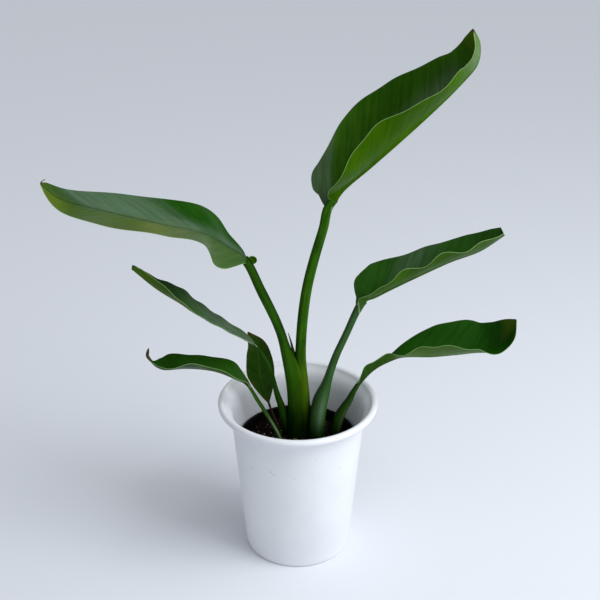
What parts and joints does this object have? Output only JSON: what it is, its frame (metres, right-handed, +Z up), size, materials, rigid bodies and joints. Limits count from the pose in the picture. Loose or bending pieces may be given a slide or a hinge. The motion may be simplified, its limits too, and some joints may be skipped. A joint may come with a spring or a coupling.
{
  "type": "potted bird of paradise",
  "caption": "Young bird of paradise with boat-shaped leaves on arching stalks, in a liner pot standing in a flared cover pot with a rolled rim.",
  "frame": {"origin": "centre of the cover pot's flat underside, on the surface it stands on", "axes": "+Z up along the pots' common axis; the leaf fan spreads along X, with its tallest leaf leaning towards +X; -Y faces the picture's viewer"},
  "size_m": [0.3846, 0.14, 0.4742],
  "materials": {
    "white_plastic": "satin",
    "black_plastic": "satin",
    "soil": "rough",
    "leaf_green": "waxy satin",
    "stalk_green": "satin",
    "dry_stalk": "matte"
  },
  "bodies": {
    "root": {"cover_pot": "white_plastic", "nursery_pot": "black_plastic", "potting_soil": "soil", "stalk_tall": "stalk_green", "blade_tall": "leaf_green", "stalk_high_left": "stalk_green", "blade_high_left": "leaf_green", "stalk_mid_left": "stalk_green", "blade_mid_left": "leaf_green", "stalk_low_left": "stalk_green", "blade_low_left": "leaf_green", "stalk_small": "dry_stalk", "blade_small": "leaf_green", "stalk_mid_right": "stalk_green", "blade_mid_right": "leaf_green", "stalk_low_right": "stalk_green", "blade_low_right": "leaf_green", "rolled_new_leaf": "stalk_green"}
  },
  "joints": []
}
